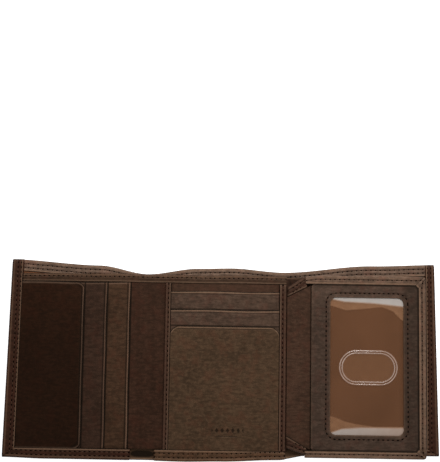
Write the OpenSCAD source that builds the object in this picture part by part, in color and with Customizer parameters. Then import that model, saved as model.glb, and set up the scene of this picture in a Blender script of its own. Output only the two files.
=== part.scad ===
// Trifold wallet, lying open with its inside up. Millimetres.
// X runs along the open wallet, Y towards the open edge of the bill compartment, Z up out of
// the inside. The origin is under the middle of the open wallet, on the face it lies on.
// Three panels fold about two lines along Y, and an ID page turns about the right-hand line.

/* [Open wallet] */
// Width of the open wallet at its foot
open_w = 235.8; // [228:0.2:242]
// How far each of the shell's free sides leans in at the top
lean = 2.1; // [0:0.1:2.5]
// Height of the shell's free corners above the middle line
corner_y = 54; // [52:0.2:56]
// Depth of the shell's lowest edge below the middle line
foot_y = 54; // [53:0.2:56]
// Height of the shell's top edge where it dips at the flap's fold
dip_y = 46.8; // [46.8:0.1:49]
// Height of the shell's top edge at the middle of the middle panel
crown_y = 50.7; // [49:0.1:52]
// Height of the interior wall's top edge
wall_top = 46.2; // [45:0.2:46.8]
// Inner edge of the bottom hem
hem_in_y = -47.4; // [-48:0.2:-47]
// Width of the turned hems at the sides
side_hem_w = 7.2; // [6.2:0.2:7.6]
// Width of the shell's turned top hem
top_hem_w = 6; // [4:0.2:6.5]

/* [Folds] */
// Where the front flap folds
left_fold_x = -42.5; // [-43.5:0.5:-41.5]
// Half the width of leather that bends at the left fold
left_bend = 6.5; // [5:0.5:7]
// Where the right panel and the ID page fold
right_fold_x = 37.5; // [37:0.5:38.5]
// Half the width of leather that bends at the right fold
right_bend = 6; // [5:0.5:6]

/* [Leather] */
// Thickness of the shell
shell_t = 1.0; // [0.8:0.1:1.2]
// Thickness of the fabric lining of the bill compartment
lining_t = 0.2; // [0.1:0.1:0.3]
// Height of the bill compartment's space
bill_gap = 0.6; // [0.4:0.1:0.8]
// Thickness of the interior wall
wall_t = 0.6; // [0.4:0.1:0.8]
// Thickness of one pocket layer
pocket_t = 0.5; // [0.4:0.1:0.5]
// How far hems and border strips stand above the top pocket
rim_t = 0.2; // [0.1:0.1:0.2]

/* [Flap panel pockets] */
// Free edge of the inner slot
slot_inner_x = -50.6; // [-51:0.2:-49.6]
// Free edge of the outer slot
slot_outer_x = -63.2; // [-65:0.2:-61]
// Free edge of the large pocket with rounded corners
flap_pocket_x = -75.6; // [-78:0.2:-72]
// Top edge of the three pockets
flap_pocket_top = 42; // [40:0.5:42]
// Corner radius of the large pocket
flap_pocket_r = 4.6; // [2:0.2:8]

/* [Middle panel pockets] */
// Inner edge of the left border strip
pocket_x0 = -28.3; // [-29.5:0.1:-28]
// Inner edge of the right border strip
pocket_x1 = 30.7; // [30:0.1:31.2]
// Width of the left border strip
strip_left_w = 3.2; // [2.5:0.1:3.5]
// Width of the right border strip
strip_right_w = 3.9; // [3:0.1:4]
// Top of the border strips and lower edge of the wall's turned top edge
strip_top = 42; // [41:0.5:42.5]
// Top edge of the back slot
slot_back_y = 37.8; // [35:0.1:39]
// Top edge of the front slot
slot_front_y = 27.7; // [24:0.1:32]
// Top edge of the front pocket
front_pocket_y = 18.8; // [14:0.1:22]
// Corner radius of the front pocket
front_pocket_r = 4.2; // [2:0.2:6]

/* [ID page] */
// Height of the page's underside
page_z = 3.2; // [3.2:0.1:3.3]
// Left edge of the page's window frame
page_x0 = 48.4; // [48:0.1:51]
// Inner edge of the page's side border
page_x1 = 106.2; // [104:0.1:107]
// Outer edge of the page
page_x2 = 110.4; // [109:0.1:110.6]
// Top edge of the page
page_top = 47.4; // [46:0.2:48]
// Lower edge of the page's top border
page_frame_top = 42.4; // [40:0.2:43]
// Upper edge of the page's bottom border
page_frame_bottom = -46.6; // [-47:0.2:-46]
// Bottom edge of the page
page_bottom = -50.6; // [-51:0.2:-50]
// Left edge of the window opening
window_x0 = 58.5; // [57:0.1:62]
// Right edge of the window opening
window_x1 = 98.1; // [96:0.1:100]
// Top edge of the window opening
window_top = 35.5; // [33:0.1:36]
// Bottom edge of the window opening
window_bottom = -38.2; // [-40:0.1:-36]
// Corner radius of the window opening
window_r = 3.1; // [2:0.1:6]
// Thickness of the window's clear sheet
vinyl_t = 0.3; // [0.2:0.1:0.3]
// Width of the oval thumb ridge on the window
thumb_w = 31.7; // [28:0.1:34]
// Height of the oval thumb ridge
thumb_h = 18.7; // [14:0.1:20]
// Middle of the thumb ridge along the wallet
thumb_x = 79.1; // [78:0.1:80.5]
// Middle of the thumb ridge across the wallet
thumb_y = -2.2; // [-6:0.2:2]
// Width of the ridge itself
thumb_ridge = 1.7; // [1:0.1:2]

/* [Badge] */
// Width of the ribbed badge on the outside of the flap
badge_w = 22.9; // [18:0.1:26]
// Height of the badge
badge_h = 6.9; // [5:0.1:9]
// Distance of the badge from the flap's free edge
badge_side = 10.5; // [9:0.5:14]
// Distance of the badge from the flap's bottom edge
badge_up = 10.8; // [9:0.2:14]
// Depth of the badge
badge_t = 0.4; // [0.3:0.1:0.5]

/* [Hidden] */
$fn = 48;

half_w = open_w / 2;
// the ends of the bending strips
left_bend_x0 = left_fold_x - left_bend;
left_bend_x1 = left_fold_x + left_bend;
right_bend_x0 = right_fold_x - right_bend;
right_bend_x1 = right_fold_x + right_bend;
// heights of the layers
lining_z = shell_t + lining_t;
wall_z = lining_z + bill_gap;
pocket_z = wall_z + wall_t;
rim_z = pocket_z + 3 * pocket_t + rim_t;
slip_rim_z = pocket_z + pocket_t + 0.1;
top_hem_t = 0.5;
binding_t = 0.4;
// the interior wall bends on a narrow strip beside the right border strip
strip_right_x1 = pocket_x1 + strip_right_w;
wall_bend_x1 = right_fold_x + 3.5;
// the right panel's foot is a little higher, so that the ID page overhangs it
right_foot_y = 50;
right_hem_in_y = -45;
// the page's layers
page_back_t = 0.5;
page_lining_t = 0.2;
card_gap = 0.4;
page_frame_t = 0.6;
vinyl_z = page_z + page_back_t + page_lining_t + card_gap;
page_frame_z = vinyl_z + vinyl_t;
page_rim_z = page_frame_z + page_frame_t + 0.1;
vinyl_margin = 3;
tongue_x0 = right_fold_x + 0.3;
tongue_x1 = 45;
tongue_z = page_z + 0.2;
tongue_t = 0.8;
tongue_top_y = 40.3;
tongue_bottom_y = -46.6;
tongue_strip = 4.6;
// the badge's lower left corner
badge_x0 = badge_side - half_w;
badge_y0 = badge_up - foot_y + 1;
// stitch rows: double on the shell's hems, single elsewhere
row_a = 2.2;
row_b = 4.3;
// the side hems' rows run beside the hems' inner edges, which do not lean
side_row_a = side_hem_w - 2.9;
side_row_b = side_hem_w - 1.1;
thread_w = 0.5;
thread_h = 0.15;
outline_step = 2.5;

// The shell's top and bottom edges: stations joined by smooth curves.
TOP = [
  [-half_w, corner_y], [-68, crown_y + 0.5], [left_fold_x + 1, dip_y], [-14, crown_y - 0.5],
  [5, crown_y], [right_fold_x - 5, dip_y + 2], [82, corner_y - 0.9], [half_w, corner_y + 0.3]
];
BOTTOM = [
  [-half_w, 1.1 - foot_y], [-95, 0.5 - foot_y], [left_fold_x, 0.4 - foot_y],
  [-20, -foot_y], [0, 0.4 - foot_y], [30, 1.6 - foot_y],
  [right_bend_x1 + 6, 0.4 - right_foot_y], [half_w, 0.8 - right_foot_y]
];

function ease(t) = t * t * (3 - 2 * t);
function curve(keys, x, i = 0) =
  i >= len(keys) - 2 || x <= keys[i + 1][0]
    ? keys[i][1] + (keys[i + 1][1] - keys[i][1])
      * ease(max(0, min(1, (x - keys[i][0]) / (keys[i + 1][0] - keys[i][0]))))
    : curve(keys, x, i + 1);
function stations(x0, x1) =
  let (n = max(1, ceil((x1 - x0) / outline_step))) [for (i = [0 : n]) x0 + (x1 - x0) * i / n];
function reversed(list) = [for (i = [len(list) - 1 : -1 : 0]) list[i]];
// an edge of the outline between two places, moved inwards by "inset"
function edge(keys, x0, x1, inset) = [for (x = stations(x0, x1)) [x, curve(keys, x) + inset]];

// The top edge's points, moved in where the shell's sides lean.
function leaning(list) = [
  for (p = list) [
    p[0] - sign(p[0]) * lean * max(0, (abs(p[0]) - half_w + side_hem_w) / side_hem_w), p[1]
  ]
];

// A layer between two edges given as lists of points, both from left to right.
module layer(upper, lower, z, t) {
  translate([0, 0, z]) linear_extrude(t) polygon(concat(upper, reversed(lower)));
}

// The shell's whole height between two places.
module shell_band(x0, x1, z, t) {
  layer(leaning(edge(TOP, x0, x1, 0)), edge(BOTTOM, x0, x1, 0), z, t);
}

module plate(x0, x1, y0, y1, z, t) {
  translate([x0, y0, z]) cube([x1 - x0, y1 - y0, t]);
}

// A rectangle whose four corners are round, as true arcs.
module rounded(x0, x1, y0, y1, r) {
  translate([x0 + r, y0]) square([x1 - x0 - 2 * r, y1 - y0]);
  translate([x0, y0 + r]) square([x1 - x0, y1 - y0 - 2 * r]);
  for (x = [x0 + r, x1 - r], y = [y0 + r, y1 - r]) translate([x, y]) circle(r);
}

// A pocket layer with two round corners: the far side is square, under a hem or strip.
module pocket_layer(x0, x1, y0, y1, r, round_side, z, t) {
  translate([0, 0, z]) linear_extrude(t) union() {
    rounded(x0, x1, y0, y1, r);
    if (round_side == "right") translate([x0, y0]) square([x1 - x0 - r, y1 - y0]);
    if (round_side == "top") translate([x0, y0]) square([x1 - x0, y1 - y0 - r]);
  }
}

// A row of thread along an edge of the shell's outline.
module outline_row(keys, x0, x1, inset, z) {
  layer(edge(keys, x0, x1, inset + thread_w / 2), edge(keys, x0, x1, inset - thread_w / 2),
        z, thread_h);
}

module row_x(x0, x1, y, z) {
  plate(x0, x1, y - thread_w / 2, y + thread_w / 2, z, thread_h);
}

module row_y(x, y0, y1, z) {
  plate(x - thread_w / 2, x + thread_w / 2, y0, y1, z, thread_h);
}

// ---- Outer shell, in three panels

module badge() {
  color("#4a3a2d") difference() {
    plate(badge_x0, badge_x0 + badge_w, badge_y0, badge_y0 + badge_h, 0, badge_t);
    for (i = [1 : 5])
      translate([badge_x0 + 1, badge_y0 + badge_h * i / 6 - 0.2, -1])
        cube([badge_w - 2, 0.4, 1.15]);
  }
}

module shell_left() {
  color("#54412f") difference() {
    shell_band(-half_w, left_bend_x0, 0, shell_t);
    plate(badge_x0, badge_x0 + badge_w, badge_y0, badge_y0 + badge_h, -1, 1 + badge_t);
  }
}

module shell_middle() {
  color("#54412f") shell_band(left_bend_x1, right_bend_x0, 0, shell_t);
}

module shell_right() {
  color("#54412f") shell_band(right_bend_x1, half_w, 0, shell_t);
}

module shell_fold_left() {
  color("#4c3a2a") shell_band(left_bend_x0, left_bend_x1, 0, shell_t);
}

module shell_fold_right() {
  color("#4c3a2a") shell_band(right_bend_x0, right_bend_x1, 0, shell_t);
}

// The shell's top edge, turned in and sewn down.
module top_hem(x0, x1) {
  color("#5d4837")
    layer(edge(TOP, x0, x1, 0), edge(TOP, x0, x1, -top_hem_w), shell_t, top_hem_t);
}

module top_hem_left() {
  top_hem(side_hem_w - half_w, left_bend_x0);
}

module top_hem_middle() {
  top_hem(left_bend_x1, right_bend_x0);
}

module top_hem_right() {
  top_hem(right_bend_x1, half_w - side_hem_w);
}

// ---- Fabric lining of the bill compartment

module bill_lining(x0, x1, y0) {
  color("#6e4a30")
    layer(edge(TOP, x0, x1, -top_hem_w), [[x0, y0], [x1, y0]], shell_t, lining_t);
}

module bill_lining_left() {
  bill_lining(side_hem_w - half_w, left_bend_x0, hem_in_y);
}

module lining_fold_left() {
  bill_lining(left_bend_x0, left_bend_x1, hem_in_y);
}

module bill_lining_middle() {
  bill_lining(left_bend_x1, right_bend_x0, hem_in_y);
}

module lining_fold_right() {
  bill_lining(right_bend_x0, right_bend_x1, right_hem_in_y);
}

module bill_lining_right() {
  bill_lining(right_bend_x1, half_w - side_hem_w, right_hem_in_y);
}

// ---- Interior wall

module wall_left() {
  color("#48362a")
    plate(side_hem_w - half_w, left_bend_x0, hem_in_y, wall_top, wall_z, wall_t);
}

module wall_fold_left() {
  color("#3f2f26") union() {
    plate(left_bend_x0, left_bend_x1, hem_in_y, wall_top, wall_z, wall_t);
    plate(left_bend_x0, left_bend_x1, strip_top, wall_top, pocket_z, binding_t);
  }
}

module wall_middle() {
  color("#48362a") plate(left_bend_x1, strip_right_x1, hem_in_y, wall_top, wall_z, wall_t);
}

module wall_fold_right() {
  color("#3f2f26")
    plate(strip_right_x1, wall_bend_x1, right_hem_in_y, wall_top, wall_z, wall_t);
}

module wall_right() {
  color("#48362a")
    plate(wall_bend_x1, half_w - side_hem_w, right_hem_in_y, wall_top, wall_z, wall_t);
}

// The wall's top edge, turned over and sewn down.
module top_binding_left() {
  color("#5a4535")
    plate(side_hem_w - half_w, left_bend_x0, strip_top, wall_top, pocket_z, binding_t);
}

module top_binding_middle() {
  color("#5a4535")
    plate(left_bend_x1, strip_right_x1, strip_top, wall_top, pocket_z, binding_t);
}

// ---- Hems that join the shell to the interior wall

module side_hem_left() {
  color("#4e3b2c")
    shell_band(-half_w, side_hem_w - half_w, shell_t, rim_z - shell_t);
}

module side_hem_right() {
  color("#4e3b2c")
    shell_band(half_w - side_hem_w, half_w, shell_t, slip_rim_z - shell_t);
}

module bottom_hem(x0, x1, y1, z1) {
  color("#4e3b2c") layer([[x0, y1], [x1, y1]], edge(BOTTOM, x0, x1, 0), shell_t, z1 - shell_t);
}

module bottom_hem_left() {
  bottom_hem(side_hem_w - half_w, left_bend_x0, hem_in_y, rim_z);
}

module bottom_hem_middle() {
  bottom_hem(left_bend_x1, strip_right_x1, hem_in_y, rim_z);
}

module bottom_hem_right() {
  bottom_hem(right_bend_x1, half_w - side_hem_w, right_hem_in_y, slip_rim_z);
}

// ---- Pockets of the flap panel, open towards the fold

module flap_slot_inner() {
  color("#46342a")
    plate(side_hem_w - half_w, slot_inner_x, hem_in_y, flap_pocket_top, pocket_z, pocket_t);
}

module flap_slot_outer() {
  color("#4a372c")
    plate(side_hem_w - half_w, slot_outer_x, hem_in_y, flap_pocket_top, pocket_z + pocket_t,
          pocket_t);
}

module flap_pocket() {
  color("#2c1d16")
    pocket_layer(side_hem_w - half_w, flap_pocket_x, hem_in_y, flap_pocket_top, flap_pocket_r,
                 "right", pocket_z + 2 * pocket_t, pocket_t);
}

// ---- Pockets and border strips of the middle panel, open towards the top

module middle_slot_back() {
  color("#4b3a2f") plate(pocket_x0, pocket_x1, hem_in_y, slot_back_y, pocket_z, pocket_t);
}

module middle_slot_front() {
  color("#4b3a2f")
    plate(pocket_x0, pocket_x1, hem_in_y, slot_front_y, pocket_z + pocket_t, pocket_t);
}

module front_pocket() {
  color("#463426")
    pocket_layer(pocket_x0, pocket_x1, hem_in_y, front_pocket_y, front_pocket_r, "top",
                 pocket_z + 2 * pocket_t, pocket_t);
}

module border_strip(x0, x1) {
  color("#4f3b2e") plate(x0, x1, hem_in_y, strip_top, pocket_z, rim_z - pocket_z);
}

module border_strip_left() {
  border_strip(pocket_x0 - strip_left_w, pocket_x0);
}

module border_strip_right() {
  border_strip(pocket_x1, strip_right_x1);
}

// ---- Slip pocket of the right panel, under the ID page

module slip_pocket() {
  color("#46342a")
    plate(page_x0 + 2, half_w - side_hem_w, right_hem_in_y, wall_top - 5, pocket_z, pocket_t);
}

// ---- ID page

module page_back() {
  color("#42322a")
    plate(page_x0, page_x1, page_frame_bottom, page_frame_top, page_z, page_back_t);
}

module page_lining() {
  color("#74503a")
    plate(page_x0, page_x1, page_frame_bottom, page_frame_top, page_z + page_back_t,
          page_lining_t);
}

module stadium(w, h) {
  square([w - h, h], center = true);
  for (side = [-1, 1]) translate([side * (w - h) / 2, 0]) circle(h / 2);
}

module id_window() {
  color("#d8cfc4", 0.35) union() {
    plate(window_x0 - vinyl_margin, window_x1 + vinyl_margin, window_bottom - vinyl_margin,
          window_top + vinyl_margin, vinyl_z, vinyl_t);
    translate([thumb_x, thumb_y, page_frame_z]) linear_extrude(0.2) difference() {
      stadium(thumb_w, thumb_h);
      stadium(thumb_w - 2 * thumb_ridge, thumb_h - 2 * thumb_ridge);
    }
  }
}

module page_frame() {
  color("#4b3a30") difference() {
    plate(page_x0, page_x1, page_frame_bottom, page_frame_top, page_frame_z, page_frame_t);
    translate([0, 0, page_frame_z - 1]) linear_extrude(3)
      rounded(window_x0, window_x1, window_bottom, window_top, window_r);
  }
}

// The page's turned border, mitred at its two outer corners.
module page_border(points) {
  color("#5f4838") translate([0, 0, page_z]) linear_extrude(page_rim_z - page_z)
    polygon(points);
}

module page_border_top() {
  page_border([[tongue_x1, page_frame_top], [page_x1, page_frame_top], [page_x2, page_top],
               [tongue_x1, page_top - 1]]);
}

module page_border_side() {
  page_border([[page_x1, page_frame_bottom], [page_x2, page_bottom], [page_x2, page_top],
               [page_x1, page_frame_top]]);
}

module page_border_bottom() {
  page_border([[tongue_x1, page_bottom], [page_x2, page_bottom], [page_x1, page_frame_bottom],
               [tongue_x1, page_frame_bottom]]);
}

// The leather that carries the page to the fold, cut narrower towards the fold.
module page_tongue() {
  color("#3c2d25") layer(
    [[tongue_x0, tongue_top_y - tongue_strip], [tongue_x1, page_frame_top],
     [page_x0, page_frame_top]],
    [[tongue_x0, tongue_bottom_y + tongue_strip], [tongue_x1, page_frame_bottom],
     [page_x0, page_frame_bottom]],
    tongue_z, tongue_t);
}

module tongue_binding_top() {
  color("#55402f") layer(
    [[tongue_x0, tongue_top_y], [tongue_x1, page_top - 1]],
    [[tongue_x0, tongue_top_y - tongue_strip], [tongue_x1, page_frame_top]],
    tongue_z, tongue_t + 0.4);
}

module tongue_binding_bottom() {
  color("#55402f") layer(
    [[tongue_x0, tongue_bottom_y + tongue_strip], [tongue_x1, page_frame_bottom]],
    [[tongue_x0, tongue_bottom_y], [tongue_x1, page_bottom]],
    tongue_z, tongue_t + 0.4);
}

// ---- Thread, one node for each panel

module stitching_left() {
  color("#2f211a") union() {
    for (row = [row_a, row_b]) {
      outline_row(BOTTOM, side_hem_w - half_w, left_bend_x0, row, rim_z);
      outline_row(TOP, side_hem_w - half_w, left_bend_x0, -row, shell_t + top_hem_t);
    }
    for (row = [side_row_a, side_row_b])
      row_y(row - half_w, row_b + 1 - foot_y, corner_y - row_b - 1, rim_z);
    row_x(side_hem_w - half_w, left_bend_x0, wall_top - 1.5, pocket_z + binding_t);
  }
}

module stitching_middle() {
  color("#2f211a") union() {
    for (row = [row_a, row_b]) {
      outline_row(BOTTOM, left_bend_x1, strip_right_x1, row, rim_z);
      outline_row(TOP, left_bend_x1, right_bend_x0, -row, shell_t + top_hem_t);
    }
    row_x(left_bend_x1, strip_right_x1, wall_top - 1.5, pocket_z + binding_t);
    row_y(pocket_x0 - 1.4, hem_in_y, strip_top, rim_z);
    row_y(strip_right_x1 - 2, hem_in_y, strip_top, rim_z);
  }
}

module stitching_right() {
  color("#2f211a") union() {
    for (row = [row_a, row_b])
      outline_row(TOP, right_bend_x1, half_w - side_hem_w, -row, shell_t + top_hem_t);
    for (row = [side_row_a, side_row_b])
      row_y(half_w - row, row_b + 1 - right_foot_y, corner_y - row_b - 1, slip_rim_z);
  }
}

module page_stitching() {
  color("#2f211a") union() {
    row_x(tongue_x1, page_x1, page_top - 2.6, page_rim_z);
    row_x(tongue_x1, page_x1, page_bottom + 2, page_rim_z);
    row_y(page_x2 - 2, page_frame_bottom, page_frame_top, page_rim_z);
    translate([0, 0, page_frame_z + page_frame_t]) linear_extrude(thread_h) difference() {
      rounded(window_x0 - 2.6, window_x1 + 2.6, window_bottom - 2.6, window_top + 2.6, 5);
      rounded(window_x0 - 2.1, window_x1 + 2.1, window_bottom - 2.1, window_top + 2.1, 4.5);
    }
  }
}

shell_left();
shell_middle();
shell_right();
top_hem_left();
top_hem_middle();
top_hem_right();
bill_lining_left();
bill_lining_middle();
bill_lining_right();
wall_left();
wall_middle();
wall_right();
side_hem_left();
side_hem_right();
bottom_hem_left();
bottom_hem_middle();
bottom_hem_right();
top_binding_left();
top_binding_middle();
flap_slot_inner();
flap_slot_outer();
flap_pocket();
middle_slot_back();
middle_slot_front();
front_pocket();
border_strip_left();
border_strip_right();
slip_pocket();
badge();
shell_fold_left();
shell_fold_right();
lining_fold_left();
lining_fold_right();
wall_fold_left();
wall_fold_right();
page_back();
page_lining();
id_window();
page_frame();
page_border_top();
page_border_side();
page_border_bottom();
page_tongue();
tongue_binding_top();
tongue_binding_bottom();
stitching_left();
stitching_middle();
stitching_right();
page_stitching();
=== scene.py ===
import math

import bpy
import numpy as np
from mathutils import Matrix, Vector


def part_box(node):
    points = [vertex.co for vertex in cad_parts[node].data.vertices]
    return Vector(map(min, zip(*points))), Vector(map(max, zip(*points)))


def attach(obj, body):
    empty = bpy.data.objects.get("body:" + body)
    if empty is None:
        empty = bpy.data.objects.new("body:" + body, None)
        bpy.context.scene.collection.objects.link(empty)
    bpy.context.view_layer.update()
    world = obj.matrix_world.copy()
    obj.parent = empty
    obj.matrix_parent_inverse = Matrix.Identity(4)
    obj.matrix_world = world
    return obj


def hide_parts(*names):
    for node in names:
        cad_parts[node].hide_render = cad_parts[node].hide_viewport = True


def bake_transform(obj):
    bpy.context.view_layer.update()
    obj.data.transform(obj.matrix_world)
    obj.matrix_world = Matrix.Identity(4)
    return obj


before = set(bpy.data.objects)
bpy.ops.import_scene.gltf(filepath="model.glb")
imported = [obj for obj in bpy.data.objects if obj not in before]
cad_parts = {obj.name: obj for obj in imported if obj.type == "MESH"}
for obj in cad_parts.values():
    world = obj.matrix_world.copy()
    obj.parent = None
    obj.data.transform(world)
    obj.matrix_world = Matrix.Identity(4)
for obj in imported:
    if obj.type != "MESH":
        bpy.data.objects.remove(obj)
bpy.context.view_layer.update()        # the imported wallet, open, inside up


# ---------------------------------------------------------------- Outer shell
# One long piece of smooth full-grain leather that is the outside of all three panels. It is
# cut with a gentle wave at its top edge and bends at the two folds, so it is made here as two
# pieces that meet flat on the middle panel, one across each fold.

MM = 0.001


def corners(*nodes):
    """Lowest and highest corner of some CAD nodes together, in millimetres."""
    boxes = [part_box(node) for node in nodes]
    low = np.min([np.array(box[0]) for box in boxes], axis=0) / MM
    high = np.max([np.array(box[1]) for box in boxes], axis=0) / MM
    return low, high


SHELL_NODES = ["shell_left", "shell_fold_left", "shell_middle", "shell_fold_right", "shell_right"]
shell_points = np.array([v.co for n in SHELL_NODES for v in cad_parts[n].data.vertices]) / MM
shell_low, shell_high = corners(*SHELL_NODES)
flap_bend = [corners("shell_fold_left")[k][0] for k in (0, 1)]
right_bend = [corners("shell_fold_right")[k][0] for k in (0, 1)]
MIDDLE_OF_OUTLINE = 46.0


def shell_edge(x, side):
    """Height of the shell's top (side 1) or bottom (side -1) edge at x."""
    mine = shell_points[shell_points[:, 1] * side > MIDDLE_OF_OUTLINE]
    mine = mine[np.argsort(mine[:, 0])]
    return np.interp(x, mine[:, 0], mine[:, 1])


top_half = shell_points[shell_points[:, 1] > MIDDLE_OF_OUTLINE, 0].max()
hem_inner = -corners("side_hem_left")[1][0]


def unit(value):
    """The value, held between 0 and 1."""
    return np.clip(value, 0, 1)


def hump(distance, width):
    """1 where the distance is 0, fading to 0 over about the width on both sides."""
    return np.exp(-((distance / width) ** 2))


def leaning(x, y):
    """Moves x inwards towards the top, within the width of the side hems."""
    inside = unit((np.abs(x) - hem_inner) / (shell_high[0] - hem_inner))
    share = unit((y - shell_low[1]) / (shell_high[1] - shell_low[1]))
    return x - np.sign(x) * (shell_high[0] - top_half) * inside * share


def nose(roll):
    """Distances from a rounded edge at which its quarter circle is cut into facets."""
    return [roll * (1 - math.cos(turn)) for turn in np.linspace(0, math.pi / 2, 5)]


def drop(distance, roll):
    """How far a rounded edge lies below the flat top, at a distance from the edge."""
    inside = np.clip(roll - distance, 0, roll)
    return roll - np.sqrt(roll**2 - inside**2)


def stations(start, end, step, near_start=(), near_end=()):
    """Places from start to end: close together near rounded ends, and even between."""
    first = [start + d for d in near_start] or [start]
    last = [end - d for d in near_end] or [end]
    count = max(1, math.ceil((min(last) - max(first)) / step))
    between = np.linspace(max(first), min(last), count + 1)
    return np.array(sorted(set(np.round([*first, *between, *last], 5))))


def bead(distance, roll):
    """How much a point lies on the pale bead inside a free edge: rubbed, with a painted highlight.
    """
    return hump(distance - roll - 0.42, 0.34)


def gap_shadow(distance):
    """How much a point lies in the painted shadow at a free edge, on its cut face and below it."""
    return unit((0.5 - distance) / 0.2)


def slab(name, across, top, low, marks=None, closed=False):
    """A closed slab of leather: a grid is raised to its thickness, then laid out by place."""
    columns, rows = top.shape
    bpy.ops.object.select_all(action="DESELECT")
    bpy.ops.mesh.primitive_grid_add(x_subdivisions=columns - 1, y_subdivisions=rows - 1, size=2)
    piece = bpy.context.active_object
    piece.name = piece.data.name = name
    bpy.ops.object.mode_set(mode="EDIT")
    bpy.ops.mesh.select_all(action="SELECT")
    bpy.ops.mesh.extrude_region_move(TRANSFORM_OT_translate={"value": (0, 0, 1)})
    if closed:
        bpy.ops.mesh.select_all(action="DESELECT")
        bpy.ops.object.mode_set(mode="OBJECT")
        for face in piece.data.polygons:
            face.select = abs(face.center.x) > 0.9999
        bpy.ops.object.mode_set(mode="EDIT")
        bpy.ops.mesh.delete(type="ONLY_FACE")
    bpy.ops.object.mode_set(mode="OBJECT")
    at = np.empty(len(piece.data.vertices) * 3, np.float32)
    piece.data.vertices.foreach_get("co", at)
    at = at.reshape(-1, 3)
    i = np.rint((at[:, 0] + 1) / 2 * (columns - 1)).astype(int)
    j = np.rint((at[:, 1] + 1) / 2 * (rows - 1)).astype(int)
    is_top = at[:, 2] > 0.5
    low = np.broadcast_to(low, top.shape)
    height = np.where(is_top, top[i, j], low[i, j])
    placed = np.column_stack([across[i, j], height]) * MM
    piece.data.vertices.foreach_set("co", placed.astype(np.float32).ravel())
    for mark, value in (marks or {}).items():
        reaches_down = is_top | (mark == "gap_shadow")
        values = np.where(reaches_down, np.broadcast_to(value, top.shape)[i, j], 0)
        layer_of = piece.data.attributes.new(mark, "FLOAT", "POINT")
        layer_of.data.foreach_set("value", values.astype(np.float32))
    bpy.ops.object.mode_set(mode="EDIT")
    bpy.ops.mesh.select_all(action="SELECT")
    if closed:
        bpy.ops.mesh.remove_doubles(threshold=0.002 * MM)
    bpy.ops.mesh.normals_make_consistent(inside=False)
    bpy.ops.object.mode_set(mode="OBJECT")
    bpy.ops.object.shade_smooth_by_angle(angle=math.radians(50))
    return piece


PRESS_DEPTH = 0.14
FAR = 1e3


def flat(x, y):
    """No change anywhere."""
    return 0 * x


def panel(name, x_range, y_range, z_range, free="", roll=0.3, round_side="", radius=0.0,
          step=2.5, under_roll=0.0, extra_x=(), extra_y=(), press=flat, edge_wave=0.0,
          shadow=flat, lean=None):
    """A flat leather layer. Its free sides are rounded over; y limits may be functions of x.

    Both corners of the round side, which is the right or the top, are round. The shadow
    function darkens the leather where it is above 0 and pales it where it is below.
    """
    x0, x1 = x_range
    z0, z1 = z_range
    bottom_of = y_range[0] if callable(y_range[0]) else lambda x: y_range[0] + 0 * x
    top_of = y_range[1] if callable(y_range[1]) else lambda x: y_range[1] + 0 * x
    arc = [radius * (1 - math.sin(turn)) for turn in np.linspace(0, math.pi / 2, 9)]
    beads = [*nose(roll), 0.3, 0.5, roll + 0.45, roll + 0.85, roll + 1.4]
    arc_sides = "left right top" if round_side == "top" else round_side
    near = {side: sorted({*(beads if side in free else []), *(arc if side in arc_sides else [])})
            for side in ("left", "right", "bottom", "top")}
    x = stations(x0, x1, step, near["left"], near["right"])
    x = np.array(sorted({*x, *extra_x}))
    height = float(np.mean(top_of(x) - bottom_of(x)))
    v = stations(0, height, step, near["bottom"], near["top"])
    v = np.array(sorted({*v, *[y - bottom_of(x0) for y in extra_y]})) / height
    grid_x, grid_v = np.meshgrid(x, v, indexing="ij")
    right, left = x1 - grid_x, grid_x - x0
    bow = drop(right if round_side == "right" else np.minimum(left, right), radius)
    low_y = bottom_of(grid_x) + bow * (round_side == "right")
    high_y = top_of(grid_x) - bow
    grid_y = low_y + (high_y - low_y) * grid_v
    gaps = {"left": left, "right": right, "top": high_y - grid_y, "bottom": grid_y - low_y}
    away = np.min([gaps[side] for side in gaps if side in free] or [FAR + 0 * grid_x], axis=0)
    wave = edge_wave * np.sin(grid_y / 9.0 + x0) * np.sin(grid_y / 23.0) * np.exp(-right / 8)
    grid_x = grid_x + wave * ("right" in free)
    wave = edge_wave * np.sin(grid_x / 7.0 + z0) * np.exp(-gaps["top"] / 8)
    grid_y = grid_y + wave * ("top" in free)
    grid_x = lean(grid_x, grid_y) if lean else grid_x
    pressed, shaded = press(grid_x, grid_y), shadow(grid_x, grid_y)
    top = z1 - drop(away, roll) - pressed
    # Marks: pale bead with painted highlight, painted shadow at free edges, painted shade in
    # pressed lines.
    marks = {"edge": np.maximum(bead(away, roll), -shaded), "gap_shadow": gap_shadow(away),
             "groove_shade": unit(pressed / PRESS_DEPTH), "shadow": np.maximum(0, shaded)}
    return slab(name, np.dstack([grid_x, grid_y]), top, z0 + drop(away, under_roll), marks)


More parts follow.
